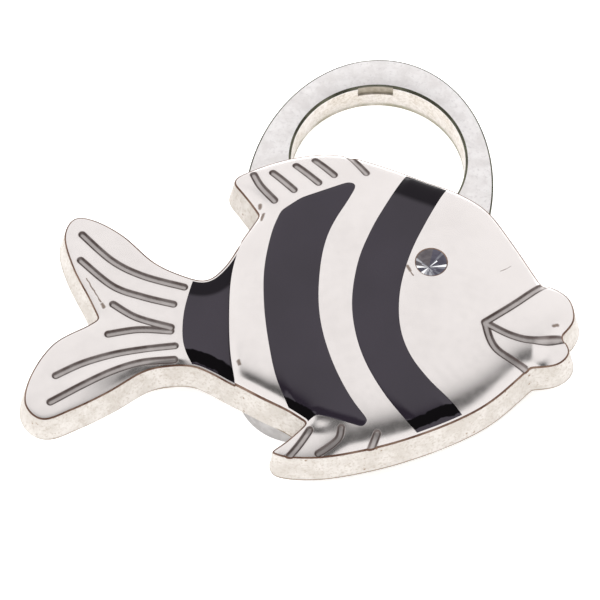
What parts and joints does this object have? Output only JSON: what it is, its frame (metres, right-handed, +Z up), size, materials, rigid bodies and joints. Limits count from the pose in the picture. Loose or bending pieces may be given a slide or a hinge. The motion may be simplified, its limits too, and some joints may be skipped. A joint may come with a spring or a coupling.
{
  "type": "souvenir bottle opener",
  "caption": "Fish-shaped souvenir bottle opener: plated zinc casting with black enamel bands and a glass eye, cap-lifter ring and disc magnet behind it.",
  "frame": {"origin": "on the surface the opener lies on, under the middle of its outline", "axes": "+X towards the fish's head, +Y towards the opener ring, +Z up out of the polished face"},
  "size_m": [0.0898, 0.0818, 0.0141],
  "materials": {
    "polished_nickel": "polished nickel plate on the face, cast texture under the plate on the side walls and back",
    "black_enamel": "gloss black epoxy enamel",
    "clear_cement": "set epoxy cement",
    "cut_glass": "foil-backed cut glass, smoke grey",
    "satin_nickel": "tumbled, mottled nickel plate",
    "rivet_steel": "zinc-plated steel",
    "magnet_plating": "dull nickel plate",
    "adhesive": "pale foam adhesive pad"
  },
  "bodies": {
    "root": {"fish_body": "polished_nickel", "stem_enamel": "black_enamel", "rear_enamel": "black_enamel", "front_enamel": "black_enamel", "eye_cement": "clear_cement", "eye_stone": "cut_glass", "opener_ring": "satin_nickel", "ring_rivets": "rivet_steel", "magnet": "magnet_plating", "magnet_pad": "adhesive"}
  },
  "joints": []
}
